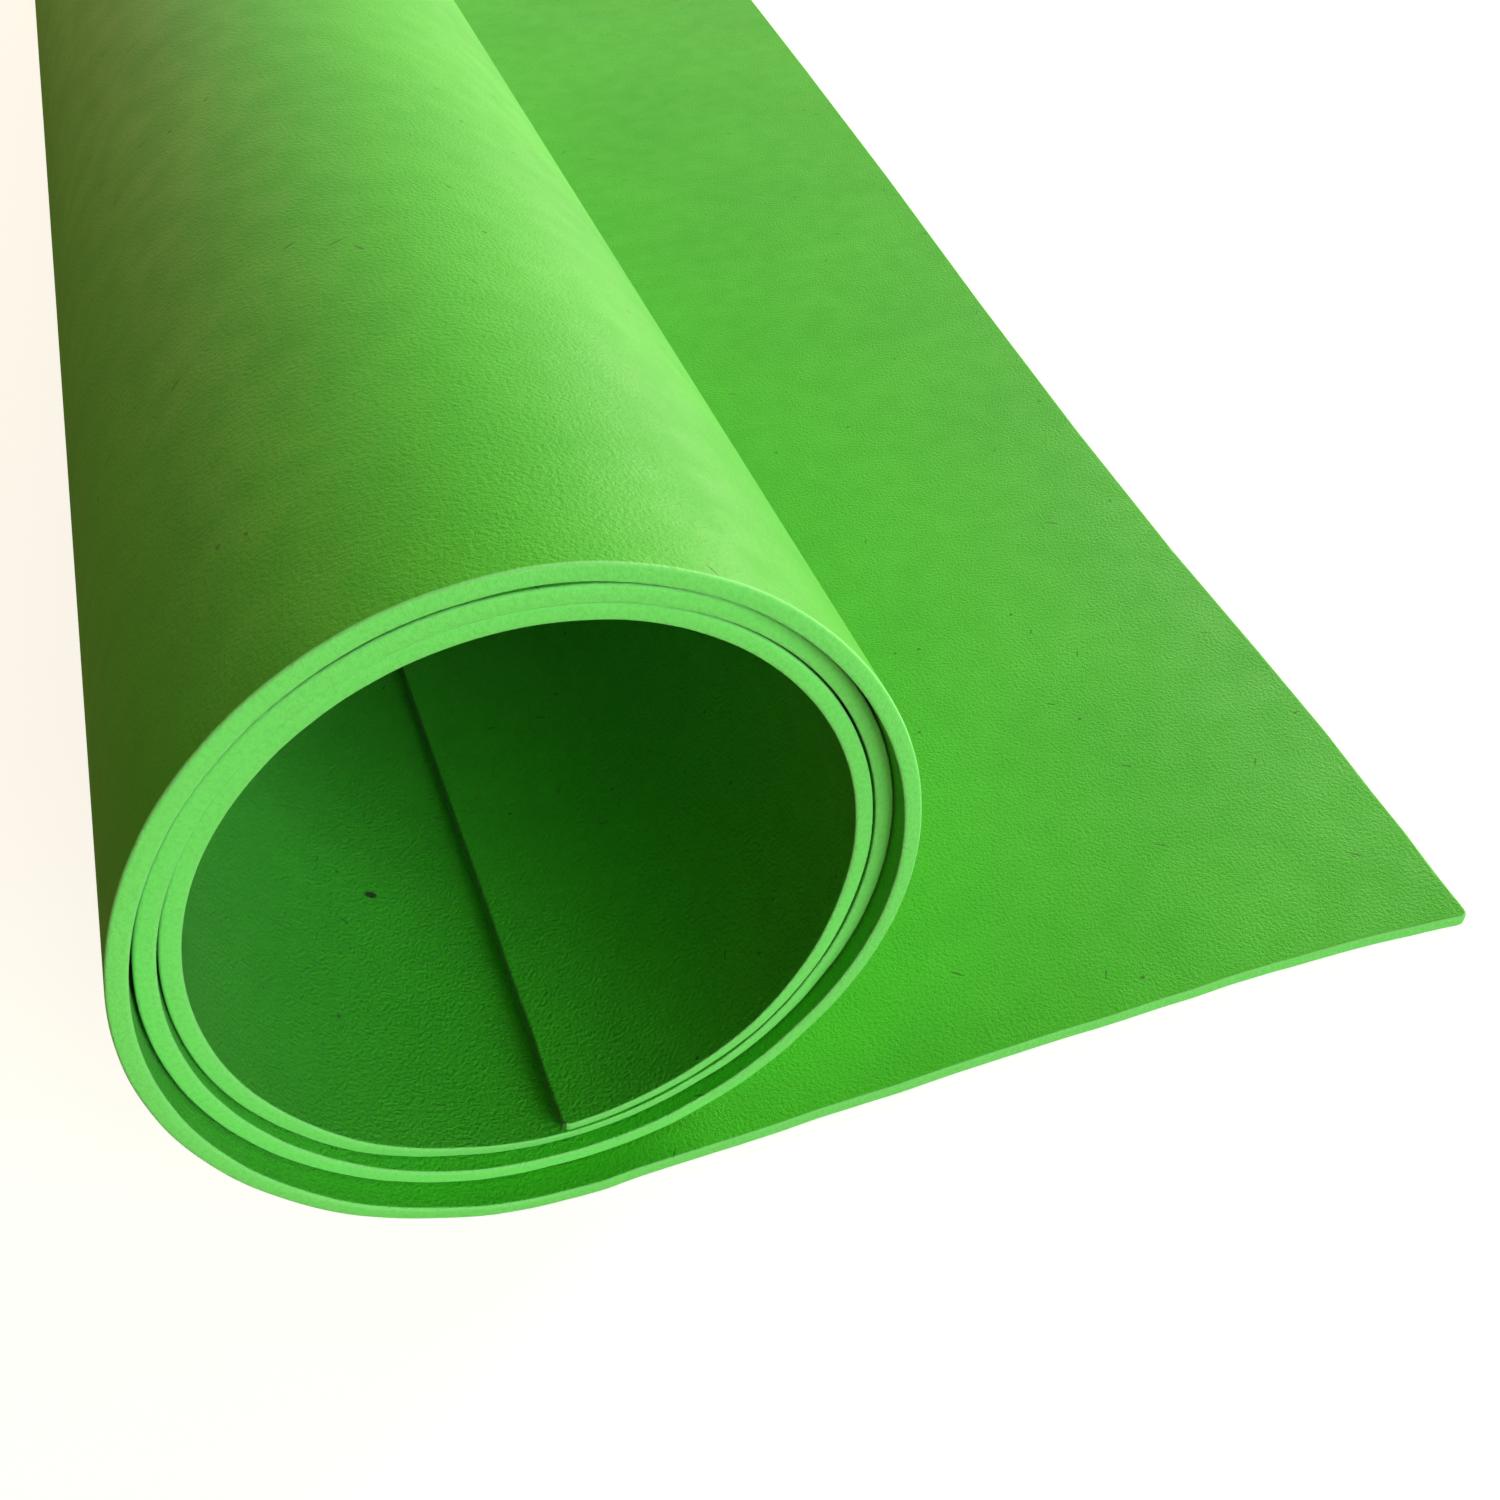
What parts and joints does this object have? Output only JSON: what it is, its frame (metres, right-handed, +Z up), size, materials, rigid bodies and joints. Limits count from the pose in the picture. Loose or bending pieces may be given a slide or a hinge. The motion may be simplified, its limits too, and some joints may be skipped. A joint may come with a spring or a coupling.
{
  "type": "craft foam sheet",
  "caption": "Green craft foam sheet, loosely rolled from one end into a hollow roll, with its other end lying flat.",
  "frame": {"origin": "on the floor under the middle of the bounding box", "axes": "+Z up, +Y along the roll's axis away from the end that the picture shows, +X from the roll towards the flat end"},
  "size_m": [0.2002, 0.6246, 0.0964],
  "materials": {
    "foam": "matte"
  },
  "bodies": {
    "root": {"foam_sheet": "foam"}
  },
  "joints": []
}
